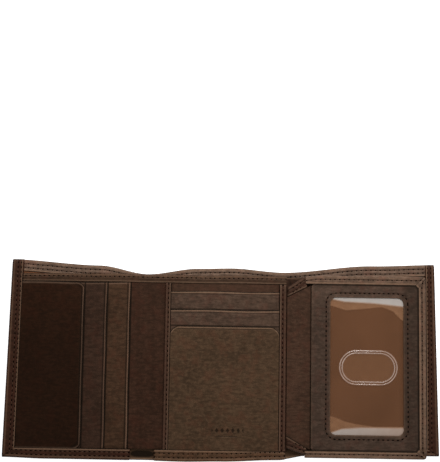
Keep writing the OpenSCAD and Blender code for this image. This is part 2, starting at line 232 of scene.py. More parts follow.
class Wire:
    """A shader socket that takes part in plain arithmetic."""

    def __init__(self, socket):
        self.socket = socket

    def node(self, kind, settings, sockets, output=0):
        """Adds a node of any kind: its settings come first, then its sockets' values or links."""
        tree = self.socket.id_data
        made = tree.nodes.new(kind)
        for name, value in settings.items():
            setattr(made, name, value)
        for name, value in sockets.items():
            if isinstance(value, Wire):
                tree.links.new(value.socket, made.inputs[name])
            else:
                made.inputs[name].default_value = value
        return Wire(made.outputs[output])

    def maths(self, operation, first, second):
        return self.node("ShaderNodeMath", {"operation": operation}, {0: first, 1: second})

    def __add__(self, other):
        return self.maths("ADD", self, other)

    def __sub__(self, other):
        return self.maths("SUBTRACT", self, other)

    def __rsub__(self, other):
        return self.maths("SUBTRACT", other, self)

    def __mul__(self, other):
        return self.maths("MULTIPLY", self, other)

    def between(self, low, high):
        """0 at low, 1 at high, and held outside them."""
        return self.node("ShaderNodeMapRange", {"clamp": True},
                         {"Value": self, "From Min": low, "From Max": high})

    def noise(self, size, detail=2.0, roughness=0.5):
        """Soft noise whose blobs are about this many millimetres across."""
        return self.node("ShaderNodeTexNoise", {},
                         {"Vector": self, "Scale": 1 / (size * MM), "Detail": detail,
                          "Roughness": roughness})

    def bump(self, strength, depth):
        """A normal bent by this value, taken as a height; depth is in millimetres."""
        return self.node("ShaderNodeBump", {},
                         {"Height": self, "Strength": strength, "Distance": depth * MM})

    def mark(self, name):
        """A value that the mesh carries, such as how near a point is to a cut edge."""
        return self.node("ShaderNodeAttribute", {"attribute_name": name}, {}, "Fac")

    def blend_colour(self, first, second):
        """The first colour where this is 0 and the second where it is 1."""
        return self.node("ShaderNodeMix", {"data_type": "RGBA"}, {0: self, 6: first, 7: second}, 2)


def paint(code):
    """The linear colour of a screen colour such as "#4a3728"."""
    parts = [int(code[k : k + 2], 16) / 255 for k in (1, 3, 5)]
    return tuple(p / 12.92 if p <= 0.04045 else ((p + 0.055) / 1.055) ** 2.4 for p in parts) + (1,)


def shade(colour, amount):
    """The same colour, lighter or darker."""
    return tuple(min(1, c * amount) for c in colour[:3]) + (1,)


def redder(colour):
    """The same colour with more red in it."""
    return (min(1, colour[0] * 1.55), colour[1] * 0.95, colour[2] * 0.9, 1)


def new_finish(name):
    """An empty material, its Principled shader, and a wire from Object coordinates."""
    finish = bpy.data.materials.new(name)
    finish.use_nodes = True
    tree = finish.node_tree
    shader = tree.nodes["Principled BSDF"]
    place = Wire(tree.nodes.new("ShaderNodeTexCoord").outputs["Object"])
    return finish, shader, place


def wire_up(shader, **sockets):
    """Sets or links sockets of the shader by name, with _ for a space."""
    tree = shader.id_data
    for name, value in sockets.items():
        socket = shader.inputs[name.replace("_", " ")]
        if isinstance(value, Wire):
            tree.links.new(value.socket, socket)
        else:
            socket.default_value = value


LEATHER_GLOSS = 0.2


def leather(name, code, grain=0.9, depth=0.05, roughness=0.5, variety=0.3,
            bead_and_highlight_code="#7d624e", mottle=1.0):
    """Leather: pebbled grain, clouds of colour, pale rubbed beads with a painted highlight, and
    painted shade.
    """
    finish, shader, place = new_finish(name)
    colour = paint(code)
    clouds = place.noise(26, 3.0, 0.6)
    speckle = place.noise(2.1, 2.0, 0.65)
    ruddy = place.noise(5.5, 2.0, 0.6)
    drawn_out = place.node("ShaderNodeMapping", {}, {"Vector": place, "Scale": (0.3, 1, 1)})
    wrinkle = drawn_out.noise(1.3, 3.0, 0.65)
    pebbles = place.node("ShaderNodeTexVoronoi", {"feature": "DISTANCE_TO_EDGE"},
                         {"Vector": place, "Scale": 1 / (grain * MM), "Randomness": 1.0})
    crease = 1 - pebbles.between(0.0, 0.12)
    pores = place.noise(0.35, 2.0, 0.7)
    toned = clouds.between(0.3, 0.7).blend_colour(shade(colour, 1 - variety),
                                                   shade(colour, 1 + variety))
    rubbed_and_highlit = place.mark("edge") * (speckle.between(0.1, 0.7) * 0.4 + 0.6)
    # The leather's own tones first, then painted light: bead highlight, painted shade and shadows.
    for share, tone in ((speckle.between(0.42, 0.62) * (0.55 * mottle), shade(colour, 1.8)),
                        ((1 - wrinkle.between(0.36, 0.56)) * (0.65 * mottle),
                         shade(colour, 0.45)),
                        (ruddy.between(0.5, 0.66) * (0.3 * mottle), redder(colour)),
                        (crease * 0.45, shade(colour, 0.45)),
                        (rubbed_and_highlit * 0.9, paint(bead_and_highlight_code)),
                        (place.mark("groove_shade") * 0.9, shade(colour, 0.15)),
                        (place.mark("gap_shadow") * 0.95, shade(colour, 0.04)),
                        (place.mark("shadow") * 0.95, shade(colour, 0.04))):
        toned = share.blend_colour(toned, tone)
    relief = pebbles.between(0.0, 0.25) * 0.55 + pores * 0.3 + clouds * 1.2 + wrinkle * 0.9
    wire_up(shader, Base_Color=toned, Normal=relief.bump(0.8, depth),
            Roughness=clouds * 0.14 + speckle * 0.1 + (roughness - 0.12),
            Specular_IOR_Level=LEATHER_GLOSS, Specular_Tint=paint("#e8c8ac"))
    return finish


def bending(first, second, start, end):
    """A way for a piece to move that only bakes its transform; first, second, start and end are
    not used.
    """
    return lambda piece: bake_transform(piece)


def move_with(piece, way):
    """Fixes a piece to the body of this name, or runs the given way on it."""
    if callable(way):
        way(piece)
    else:
        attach(piece, way)


def finish_piece(piece, finish, slot, way, *nodes):
    """Gives a piece its material and how it moves, and hides the nodes that it stands for; the
    slot is not used.
    """
    piece.data.materials.clear()
    piece.data.materials.append(finish)
    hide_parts(*nodes)
    move_with(piece, way)


bend_at_flap = bending("middle_panel", "left_panel", *flap_bend[::-1])
bend_at_right = bending("middle_panel", "right_panel", *right_bend)


def shell_top(x):
    """Height of the shell's top edge at x."""
    return shell_edge(x, 1)


def shell_foot(x):
    """Height of the shell's bottom edge at x."""
    return shell_edge(x, -1)


outer_leather = leather("outer_leather", "#483526", grain=1.1, depth=0.045, roughness=0.5,
                        mottle=0.3)
SHELL_STEP = 1.6
BEND_STEP = 0.5
bend_x = [*np.arange(flap_bend[0], flap_bend[1], BEND_STEP),
          *np.arange(right_bend[0], right_bend[1], BEND_STEP)]


MOUTH_UP, MOUTH_HALF = 3.3, 2.0


def fold_mouth_shadow(x, y):
    """Painted shadow at the foot of the left fold, where one looks between the hems into the
    wallet.
    """
    along = (x - (flap_bend[0] + flap_bend[1]) / 2) / ((flap_bend[1] - flap_bend[0]) / 2 + 0.4)
    up = (y - shell_foot(x) - MOUTH_UP) / MOUTH_HALF
    return unit((1 - along**4 - up**2) * 2.2)


flap_shell = panel("shell_flap", (shell_low[0], flap_bend[1]), (shell_foot, shell_top),
                   (shell_low[2], shell_high[2]), "left top bottom", 0.3, under_roll=0.45,
                   step=SHELL_STEP, shadow=fold_mouth_shadow, lean=leaning,
                   extra_x=np.arange(flap_bend[0] - 0.2, flap_bend[1], BEND_STEP),
                   extra_y=shell_foot(shell_low[0]) + np.arange(0.9, 7, 0.4))
finish_piece(flap_shell, outer_leather, "outer_leather", bend_at_flap, "shell_left",
             "shell_fold_left")
body_shell = panel("shell_body", (flap_bend[1], shell_high[0]), (shell_foot, shell_top),
                   (shell_low[2], shell_high[2]), "right top bottom", 0.3, under_roll=0.45,
                   step=SHELL_STEP, lean=leaning,
                   extra_x=np.arange(right_bend[0], right_bend[1], BEND_STEP))
finish_piece(body_shell, outer_leather, "outer_leather", bend_at_right, "shell_middle",
             "shell_fold_right", "shell_right")


# ---------------------------------------------------------------- Top hem of the shell
# The shell's top edge is turned in, glued down and sewn with two rows, which press two
# channels into the leather. The hem follows the wave of the edge and bends at both folds.

ROWS = (2.2, 4.3)
CHANNEL = 0.34


def points_at(x, y):
    """Points with these coordinates, either of which may be a single number."""
    return np.column_stack(np.broadcast_arrays(x, y))


def strip_width(outer, inner):
    """The width of a strip at each station, square to its outer edge."""
    along = np.gradient(outer, axis=0)
    along /= np.hypot(*along.T)[:, None]
    across = inner - outer
    return np.abs(along[:, 0] * across[:, 1] - along[:, 1] * across[:, 0])


def turned(name, outer, inner, z_range, rows=(), roll=(0.6, 0.3), puff=0.0, pleats=None,
           ends=(), from_inner=False, dim=0.0, inner_line=1.0):
    """A turned and sewn strip between an outer and an inner edge, given as lists of points.

    dim darkens the leather inside the last row; inner_line fades the painted shadow line at the
    inner edge.
    """
    outer, inner = np.array(outer, float), np.array(inner, float)
    width = strip_width(outer, inner)
    size = float(np.median(width))
    across = {*nose(roll[0]), roll[0] + 0.45, roll[0] + 0.9}
    across |= {size - d for d in (*nose(roll[1]), 0.3, 0.5, roll[1] + 0.45, roll[1] + 0.85)}
    for row in rows:
        at = size - row if from_inner else row
        across |= {at + CHANNEL * k for k in (-2, -1.2, -0.5, 0, 0.5, 1.2, 2)}
    across |= set(np.linspace(roll[0], size - roll[1], max(2, round(size / 0.9))))
    across = np.array(sorted(d for d in across if 0 <= d < size - 0.03))
    across = np.append(across[np.append(True, np.diff(across) > 0.03)], size)
    share = across / size
    points = outer[:, None] + (inner - outer)[:, None] * share[None, :, None]
    distance = width[:, None] * share[None, :]
    other = width[:, None] - distance
    from_row = other if from_inner else distance
    dent = sum((hump(from_row - row, CHANNEL) for row in rows), 0 * distance)
    swell = puff * np.sin(math.pi * share)[None, :]
    top = z_range[1] - drop(distance, roll[0]) - drop(other, roll[1]) - 0.16 * dent + swell
    fold = 0 if pleats is None else pleats[:, None] * (0.35 + 0.65 * (1 - share[None, :]))
    top = top - 0.35 * fold
    along = np.concatenate([[0], np.cumsum(np.hypot(*np.diff(outer, axis=0).T))])
    if "start" in ends:
        top = top - drop(along, roll[0])[:, None]
    if "end" in ends:
        top = top - drop(along[-1] - along, roll[0])[:, None]
    below_row = dim * unit((distance - max(rows, default=0) - 0.3) / 0.3)
    # Painted shade in the stitch channels and pleats, and the darkening below the last row.
    groove_shade = np.maximum(np.maximum(0.4 * dent, fold), below_row)
    marks = {"edge": unit(0.5 * bead(distance, roll[0]) + bead(other, roll[1])),
             "groove_shade": unit(groove_shade), "gap_shadow": gap_shadow(other) * inner_line}
    return slab(name, points, top, z_range[0], marks)


def along_shell(x, side, inset):
    """Points beside the shell's edge, moved inwards by the inset."""
    return points_at(x, shell_edge(x, side) - side * inset)


edge_leather = leather("edge_leather", "#2f1a12", grain=0.8, depth=0.04, roughness=0.5)
low, high = corners("top_hem_left", "top_hem_middle", "top_hem_right")
hem_width = shell_high[1] - corners("bill_lining_left")[1][1]
# The top hem is the shell's own leather; this lighter copy of it is painted light on the top edge.
lit_top_hem_leather = leather("lit_top_hem_leather", "#665245", grain=0.8, depth=0.04, bead_and_highlight_code="#866a55")
for name, span, bend, nodes in (
        ("top_hem_flap", (low[0], flap_bend[1]), bend_at_flap, ["top_hem_left"]),
        ("top_hem_body", (flap_bend[1], high[0]), bend_at_right,
         ["top_hem_middle", "top_hem_right"])):
    x = np.array(sorted({*stations(*span, 1.5), *[b for b in bend_x if span[0] < b < span[1]]}))
    hem = turned(name, along_shell(x, 1, 0.15), along_shell(x, 1, hem_width),
                 (low[2], high[2]), ROWS, (0.3, 0.2))
    finish_piece(hem, lit_top_hem_leather, "edge_leather", bend, *nodes)


# ---------------------------------------------------------------- Lining of the bill compartment
# Brown satin, glued to the inside of the shell below the turned hem. It is thin woven cloth,
# seen only between the shell and the interior wall.


def satin(name, code):
    """Woven satin: fine crossed threads, a soft sheen and a faint small pattern of lozenges."""
    finish, shader, place = new_finish(name)
    colour = paint(code)
    warp = place.node("ShaderNodeTexWave", {"bands_direction": "X"},
                      {"Vector": place, "Scale": 0.31 / (0.8 * MM), "Distortion": 1.2}, "Fac")
    weft = place.node("ShaderNodeTexWave", {"bands_direction": "Y"},
                      {"Vector": place, "Scale": 0.31 / (0.5 * MM), "Distortion": 0.6}, "Fac")
    turned_place = place.node("ShaderNodeMapping", {},
                              {"Vector": place, "Rotation": (0, 0, math.radians(38))})
    lozenge = turned_place.node("ShaderNodeTexVoronoi", {"distance": "MANHATTAN"},
                                {"Vector": turned_place, "Scale": 1 / (15 * MM),
                                 "Randomness": 0.25})
    off = lozenge - 0.2
    figure = 1 - off.maths("ABSOLUTE", off, 0).between(0.0, 0.03)
    worn_away = place.noise(9, 2.0).between(0.45, 0.65)
    clouds = place.noise(24, 2.0)
    toned = clouds.between(0.3, 0.7).blend_colour(shade(colour, 0.86), shade(colour, 1.14))
    toned = (figure * worn_away * 0.3).blend_colour(toned, shade(colour, 1.5))
    toned = (warp * 0.16).blend_colour(toned, shade(colour, 0.7))
    wire_up(shader, Base_Color=toned, Normal=(warp * 0.5 + weft * 0.5).bump(0.25, 0.02),
            Roughness=warp * 0.1 + 0.45, Specular_IOR_Level=0.15,
            Specular_Tint=paint("#ff9a60"))
    return finish


lining_satin = satin("lining_satin", "#6b4630")
low, high = corners("bill_lining_left", "lining_fold_left", "bill_lining_middle",
                    "lining_fold_right", "bill_lining_right")
LINING_TUCK = 0.1


def lining_top(x):
    """The linings reach up to the turned hem."""
    return shell_edge(x, 1) - hem_width - LINING_TUCK


def glued_sheet(x0, x1, foot_of, top_of):
    """Works out the height and area of a lining cut to this outline; nothing keeps them."""
    x = np.linspace(x0, x1, 400)
    top, foot = top_of(x), foot_of(x)
    (top.max() - foot.min()) * MM
    (x1 - x0) * (top - foot).mean() * MM**2


flap_lining = panel("bill_lining_flap", (low[0] + 0.2, flap_bend[1]), (low[1], lining_top),
                    (low[2], high[2]), "top", 0.08, step=2.4,
                    extra_x=[b for b in bend_x if b < flap_bend[1]])
glued_sheet(low[0] + 0.2, flap_bend[1], lambda x: low[1] + 0 * x, lining_top)
finish_piece(flap_lining, lining_satin, "satin", bend_at_flap, "bill_lining_left",
             "lining_fold_left")
right_low = corners("bill_lining_right")[0][1]


def lining_foot(x):
    """The body's lining is shorter on the right panel."""
    return np.interp(x, right_bend, [low[1], right_low])


body_lining = panel("bill_lining_body", (flap_bend[1], high[0] - 0.2), (lining_foot, lining_top),
                    (low[2], high[2]), "top", 0.08, step=2.4,
                    extra_x=[b for b in bend_x if b > flap_bend[1]])
glued_sheet(flap_bend[1], high[0] - 0.2, lining_foot, lining_top)
finish_piece(body_lining, lining_satin, "satin", bend_at_right, "bill_lining_middle",
             "lining_fold_right", "bill_lining_right")


# ---------------------------------------------------------------- Interior wall
# The leather wall between the bill compartment and the card pockets. Its top edge is turned
# over and sewn with one row. It bends at both folds and carries all the pockets.

wall_leather = leather("wall_leather", "#321f16", grain=0.75, depth=0.045, roughness=0.5)
low, high = corners("wall_left", "wall_fold_left", "wall_middle")
slot_edge = corners("flap_slot_inner")[1][0]


def slot_shadow_and_streaks(x, y):
    """A painted shadow line beside the card slots, and soft upright darker streaks near the fold.
    """
    line = 0.9 * unit((0.75 - (x - slot_edge)) / 0.35)
    streak = 0.08 * (1 + np.sin(x * 0.8 + 0.03 * y)) + 0.04 * np.sin(x * 2.3 + 0.6)
    return unit(np.maximum(line, streak))


flap_wall = panel("wall_flap", (low[0] + 0.1, flap_bend[1]), (low[1], high[1]),
                  (low[2], corners("wall_left")[1][2]), "top", 0.25, step=1.4,
                  shadow=slot_shadow_and_streaks, extra_x=np.arange(slot_edge, flap_bend[1], 0.4))
finish_piece(flap_wall, wall_leather, "inner_leather", bend_at_flap, "wall_left",
             "wall_fold_left")

wall_low, wall_high = corners("wall_middle", "wall_fold_right", "wall_right")
wall_bend = [corners("wall_fold_right")[k][0] for k in (0, 1)]
right_wall_low = corners("wall_right")[0][1]


def wall_foot(x):
    """The wall is shorter on the right panel."""
    return np.interp(x, wall_bend, [wall_low[1], right_wall_low])


pocket_low, pocket_high = corners("middle_slot_back")
VALLEY_END = 47


def fold_valley(x, y):
    """The shadowed valley beside the ID page, and the paler band above the card slots."""
    pale_band = 0.08 * unit(x - pocket_low[0]) * unit(pocket_high[0] - x)
    return (0.85 * unit((x - wall_bend[0]) / 0.5) * unit((VALLEY_END - x) / 3)
            * unit(0.55 + 0.45 * np.sin(x * 2.1 + y * 1.3) * np.sin(y * 0.9))
            - pale_band)


body_wall = panel("wall_body", (flap_bend[1], wall_high[0] - 0.1), (wall_foot, wall_high[1]),
                  (wall_low[2], wall_high[2]), "top", 0.25, step=1.4, shadow=fold_valley,
                  extra_x=np.arange(wall_bend[0], VALLEY_END, 0.6))
finish_piece(body_wall, wall_leather, "inner_leather",
             bending("middle_panel", "right_panel", *wall_bend), "wall_middle",
             "wall_fold_right", "wall_right")

binding_leather = leather("binding_leather", "#422f23", grain=0.8, depth=0.04, roughness=0.46)
binding_low, binding_high = corners("top_binding_left", "top_binding_middle")
BINDING_ROW = (1.5,)
BINDING_LIP = 0.35
for name, span, way, node in (
        ("wall_binding_flap", (binding_low[0] + 0.2, flap_bend[1]), bend_at_flap,
         "top_binding_left"),
        ("wall_binding_body", (flap_bend[1], binding_high[0]), "middle_panel",
         "top_binding_middle")):
    x = stations(*span, 1.2)
    wave = 0.12 * np.sin(x / 5.3) + 0.16 * np.sin(x / 13.0)
    binding = turned(name, points_at(x, binding_high[1] + BINDING_LIP + wave),
                     points_at(x, binding_low[1] + 0.5 * wave),
                     (binding_low[2] - 0.5, binding_high[2]), BINDING_ROW, (0.55, 0.25), 0.08,
                     dim=0.45, inner_line=0.4)
    finish_piece(binding, binding_leather, "edge_leather", way, node)


# ---------------------------------------------------------------- Pockets of the front flap
# Two card slots and a large pocket of smoother, darker leather with two round corners. All
# three are open towards the fold, stacked like steps and caught in the hems. A creased line
# runs beside each free edge, pressed in with a hot tool.

CREASE_IN = 1.6
CREASE = 0.36


def layer(low, high, left=0.0, right=0.0, foot=0.0, head=0.0, top=0.0):
    """The x, y and z ranges between two corners, with each side moved outwards by this much."""
    return ((low[0] - left, high[0] + right), (low[1] - foot, high[1] + head),
            (low[2], high[2] + top))


# The material darkens these pressed lines: the leather's own darkening where pressed, with painted
# shade.
def crease_beside(edge_of, depth=PRESS_DEPTH):
    """A pressed line at a fixed distance inside a free edge, which edge_of gives."""
    return lambda x, y: depth * hump(edge_of(x, y) - CREASE_IN, CREASE)


def crease_lines(end):
    """Stations that carry a creased line beside a straight edge."""
    return [end - (CREASE_IN + CREASE * k) for k in (-2, -1, -0.4, 0.4, 1, 2)]


def shadow_beside(edge):
    """A dark line just beyond the free edge of the sheet above, which lies at x = edge."""
    return lambda x, y: 0.9 * unit((x - edge + 0.3) / 0.2) * unit(
        (0.75 - (x - edge)) / 0.35)


def shadow_lines(edge):
    """Stations that carry such a dark line."""
    return [edge - 0.3, edge - 0.1, edge + 0.4, edge + 0.75]


slot_leather = leather("slot_leather", "#302018", grain=0.8, depth=0.05, roughness=0.5,
                       bead_and_highlight_code="#5b4537")
slot_leather_light = leather("slot_leather_light", "#39271b", grain=0.8, depth=0.05,
                             roughness=0.5, bead_and_highlight_code="#6b5242")
dark_leather = leather("dark_leather", "#221007", grain=0.6, depth=0.03, roughness=0.46,
                       variety=0.35, bead_and_highlight_code="#5f4a3c")
for node, finish, above in (("flap_slot_inner", slot_leather_light, "flap_slot_outer"),
                            ("flap_slot_outer", slot_leather, "flap_pocket")):
    low, high = corners(node)
    edge_above = corners(above)[1][0]
    pocket = panel(node + "_leather", *layer(low, high, left=-0.2), "right top", 0.3,
                   step=2.2, extra_x=crease_lines(high[0]) + shadow_lines(edge_above),
                   edge_wave=0.25, shadow=shadow_beside(edge_above),
                   press=crease_beside(lambda x, y, end=high[0]: end - x))
    finish_piece(pocket, finish, "inner_leather", "left_panel", node)

low, high = corners("flap_pocket")
FLAP_CORNER = 4.6
POCKET_TUCK = 1.0
pocket_foot = corners("bottom_hem_left")[1][1] - POCKET_TUCK


def flap_pocket_gap(x, y):
    """Distance inwards from the large pocket's round-cornered free edge."""
    from_right = FLAP_CORNER - (high[0] - x)
    past = np.maximum(np.abs(y - (pocket_foot + high[1]) / 2)
                      - ((high[1] - pocket_foot) / 2 - FLAP_CORNER), 0)
    round_gap = FLAP_CORNER - np.hypot(np.maximum(from_right, 0), past)
    return np.where((from_right > 0) & (past > 0), round_gap, high[0] - x)


large_pocket = panel("flap_pocket_leather", (low[0] + 0.2, high[0]), (pocket_foot, high[1]),
                     (low[2], high[2] + 0.1), "right top bottom", 0.4, "right", FLAP_CORNER,
                     step=1.5, extra_x=crease_lines(high[0]), press=crease_beside(flap_pocket_gap),
                     edge_wave=0.15, shadow=lambda x, y: 0.32 * unit((38 - y) / 30))
finish_piece(large_pocket, dark_leather, "dark_leather", "left_panel", "flap_pocket")


# ---------------------------------------------------------------- Pockets of the middle panel
# Two card slots and a front pocket, open towards the top, each a step higher than the one
# behind. The front pocket has two round corners and a small pressed ornament near its foot.

middle_leather = leather("middle_leather", "#423123", grain=0.85, depth=0.05, roughness=0.52)
middle_slot_leather = leather("middle_slot_leather", "#44342a", grain=0.75, depth=0.04,
                              roughness=0.45)
for node, above in (("middle_slot_back", "middle_slot_front"),
                    ("middle_slot_front", "front_pocket")):
    low, high = corners(node)
    edge_above = corners(above)[1][1]
    dark_line = shadow_beside(edge_above)
    pocket = panel(node + "_leather", *layer(low, high), "top", 0.3, step=2.2, edge_wave=0.2,
                   extra_y=crease_lines(high[1]) + shadow_lines(edge_above),
                   shadow=lambda x, y, line=dark_line: line(y, x),
                   press=crease_beside(lambda x, y, end=high[1]: end - y, 0.08))
    finish_piece(pocket, middle_slot_leather, "inner_leather", "middle_panel", node)

low, high = corners("front_pocket")
POCKET_CORNER = 4.8
ORNAMENT = (3.4, -37.0)
BLOCK_PITCH, BLOCK_W, BLOCK_H = 2.9, 1.05, 1.6
LINE_DROP, LINE_HALF, LINE_W = 3.3, 5.6, 0.22
POCKET_CREASE_IN = 1.4


def ornament(x, y):
    """Depth of the pressed ornament: a row of lozenges over a short thin line."""
    along, up = x - ORNAMENT[0], y - ORNAMENT[1]
    in_row = unit((3 * BLOCK_PITCH - np.abs(along)) * 4)
    in_block = (along / BLOCK_PITCH - np.round(along / BLOCK_PITCH)) * BLOCK_PITCH
    diamond = unit((1 - np.abs(in_block) / BLOCK_W - np.abs(up) / BLOCK_H) * 3.5)
    rule = (unit((LINE_W - np.abs(up + LINE_DROP)) * 8)
            * unit((LINE_HALF - np.abs(along)) * 4))
    beside = 0.1 * hump(high[1] - y - POCKET_CREASE_IN, CREASE)
    return 0.2 * np.maximum(diamond * in_row, rule) + beside


fine_x = np.arange(ORNAMENT[0] - 10, ORNAMENT[0] + 10, 0.33)
fine_y = np.arange(ORNAMENT[1] - 4.2, ORNAMENT[1] + 2.2, 0.33)
front_pocket = panel("front_pocket_leather", *layer(low, high, top=0.05), "top", 0.4, "top",
                     POCKET_CORNER, step=2.0, extra_x=fine_x,
                     extra_y=[*fine_y, *crease_lines(high[1])], press=ornament)
finish_piece(front_pocket, middle_leather, "inner_leather", "middle_panel", "front_pocket")


# ---------------------------------------------------------------- Border strips of the pockets
# Narrow turned strips of leather that close the middle pockets at both sides. Each is sewn
# down with one row and stands a little proud of the pockets.

strip_leather = leather("strip_leather", "#352119", grain=0.7, depth=0.04, roughness=0.5,
                        bead_and_highlight_code="#5f4a3b")
STRIP_ROWS = {"border_strip_left": 1.8, "border_strip_right": 2.0}
for node, row in STRIP_ROWS.items():
    low, high = corners(node)
    y = stations(low[1], high[1], 1.8)
    outer_x, inner_x = (low[0], high[0]) if node.endswith("left") else (high[0], low[0])
    strip = turned(node + "_leather", points_at(outer_x, y), points_at(inner_x, y),
                   (low[2], high[2]), (row,), (0.35, 0.35), 0.06, ends=("end",))
    finish_piece(strip, strip_leather, "edge_leather", "middle_panel", node)


# ---------------------------------------------------------------- Slip pocket of the right panel
# A plain pocket sewn to the wall of the right panel. The ID page covers it until the page is
# turned over.

low, high = corners("slip_pocket")
slip = panel("slip_pocket_leather", *layer(low, high, right=0.2), "left top", 0.3, step=2.2,
             extra_y=crease_lines(high[1]),
             press=crease_beside(lambda x, y, end=high[1]: end - y, 0.08))
finish_piece(slip, slot_leather_light, "inner_leather", "right_panel", "slip_pocket")


# ---------------------------------------------------------------- Side and bottom hems
# The shell's sides and foot are turned over the interior wall and sewn through with two rows.
# The hems stop short of the folds, so that the bill compartment's leather can bend there, and
# they meet in a mitre at the corners.

foot_in = corners("bottom_hem_left")[1][1]
foot_leather = leather("foot_leather", "#4c3626", grain=0.8, depth=0.04, roughness=0.5)


def hem_along(name, node, outer, inner, body, ends=(), pleats=None, rows=ROWS,
              from_inner=False, inner_line=1.0):
    """One sewn hem over its CAD bar."""
    low, high = corners(node)
    hem = turned(name, outer, inner, (low[2], high[2]), rows, (0.9, 0.3), 0.06, pleats, ends,
                 from_inner, inner_line=inner_line)
    finish_piece(hem, foot_leather if body == "middle_panel" else edge_leather,
                 "edge_leather", body, node)


SIDE_ROWS = (1.1, 2.9)


def mitre_line(along):
    """How deep the mitre's crease is, at distances from it along a hem."""
    return hump(along - 0.1, 0.45)


def side_hem(name, node, body, outwards, inner_foot, inner_lean=0.0):
    """The hem of a free side, mitred into the bottom hem at its foot."""
    low, high = corners(node)
    outer_x = high[0] if outwards > 0 else low[0]
    inner_x = low[0] if outwards > 0 else high[0]
    foot, head = shell_edge(outer_x, -1) + 0.1, shell_edge(outer_x, 1) - 0.2
    y = np.array(sorted({*stations(foot, head, 1.4), foot + 0.3, foot + 0.7}))
    outer = points_at(leaning(outer_x, y) - outwards * 0.1, y)
    inner_at = inner_x - outwards * inner_lean * (y - foot) / (head - foot)
    inner = points_at(inner_at, np.maximum(y, inner_foot))
    below_binding = unit((binding_high[1] - y) / 0.5)[:, None]
    hem_along(name, node, outer, inner, body, ("end",), mitre_line(y - foot), SIDE_ROWS,
              True, below_binding)


FLAP_LEAN = 1.2
side_hem("side_hem_flap_leather", "side_hem_left", "left_panel", -1, foot_in, FLAP_LEAN)
side_hem("side_hem_right_leather", "side_hem_right", "right_panel", 1,
         corners("bottom_hem_right")[1][1])


def bottom_hem(name, node, body, mitre, ends):
    """The hem along the foot of one panel; mitre is -1, 0 or 1 for the side that has one."""
    low, high = corners(node)
    first = shell_low[0] + 0.1 if mitre < 0 else low[0]
    last = shell_high[0] - 0.1 if mitre > 0 else high[0]
    x = np.array(sorted({*stations(first, last, 1.3), first + 0.4, last - 0.4}))
    outer = points_at(x, shell_edge(x, -1) + 0.1)
    inner = points_at(np.clip(x, low[0], high[0]), high[1])
    from_mitre = x - first if mitre < 0 else last - x
    hem_along(name, node, outer, inner, body, ends,
              mitre_line(from_mitre) if mitre else None)


bottom_hem("bottom_hem_flap_leather", "bottom_hem_left", "left_panel", -1, ("end",))
bottom_hem("bottom_hem_middle_leather", "bottom_hem_middle", "middle_panel", 0,
           ("start", "end"))
bottom_hem("bottom_hem_right_leather", "bottom_hem_right", "right_panel", 1, ("start",))


# ---------------------------------------------------------------- Badge on the flap's outside
# A small tone-on-tone leather label, let into the outside of the flap: straight ribs run along
# it, with a smooth plaque that carries a row of lozenges.

low, high = corners("badge")
badge_leather = leather("badge_leather", "#4e3c2c", grain=0.6, depth=0.02, roughness=0.42)
RIBS = 6
PLAQUE_HALF_W, PLAQUE_HALF_H = 6.4, 0.36
LOZENGE_PITCH, LOZENGE_HALF_W, LOZENGE_HALF_H = 2.4, 0.95, 0.2
EMBOSS = 0.16
badge_x = np.linspace(low[0], high[0], 93)
badge_y = np.linspace(low[1], high[1], 49)
grid_x, grid_y = np.meshgrid(badge_x, badge_y, indexing="ij")
along = grid_x - (low[0] + high[0]) / 2
up = (grid_y - low[1]) / (high[1] - low[1])
rib = 0.5 - 0.5 * np.cos(up * RIBS * 2 * math.pi)
plaque = (unit((PLAQUE_HALF_W - np.abs(along)) * 3)
          * unit((PLAQUE_HALF_H - np.abs(up - 0.5)) * 14))
in_block = (along / LOZENGE_PITCH - np.round(along / LOZENGE_PITCH)) * LOZENGE_PITCH
lozenges = unit((1 - np.abs(in_block) / LOZENGE_HALF_W
                 - np.abs(up - 0.5) / LOZENGE_HALF_H) * 4)
in_row = unit(PLAQUE_HALF_W - 0.2 - np.abs(along))
sunk = ((1 - plaque) * rib + plaque * lozenges * in_row) * EMBOSS
border = np.minimum(np.minimum(grid_x - low[0], high[0] - grid_x),
                    np.minimum(grid_y - low[1], high[1] - grid_y))
badge = slab("badge_leather_label", np.dstack([grid_x, grid_y]),
             0 * grid_x + high[2], low[2] + 0.02 + sunk + drop(border, 0.3))
finish_piece(badge, badge_leather, "edge_leather", "left_panel", "badge")


# ---------------------------------------------------------------- ID page: back and satin lining
# The page is a flat leather-backed sleeve that turns about the right-hand fold. Satin lines
# the back, and shows through the clear window when no card is in the sleeve.

low, high = corners("page_back")
page_back = panel("page_back_leather", *layer(low, high, right=0.4, foot=0.4, head=0.4),
                  "left", 0.2, under_roll=0.25, step=2.2)
finish_piece(page_back, slot_leather_light, "inner_leather", "id_page", "page_back")

page_satin = satin("page_satin", "#573a28")
low, high = corners("page_lining")
page_lining = panel("page_lining_satin", *layer(low, high, left=-0.3), "left", 0.08, step=2.4)
finish_piece(page_lining, page_satin, "satin", "id_page", "page_lining")


# ---------------------------------------------------------------- ID page: clear window
# A sheet of clear flexible plastic, heat-formed with an oval thumb ridge. It swells gently
# off the lining, and clings and clouds a little at its head and foot where it is held down;
# the clouding there is partly painted reflection, with painted glare and ridge highlights.

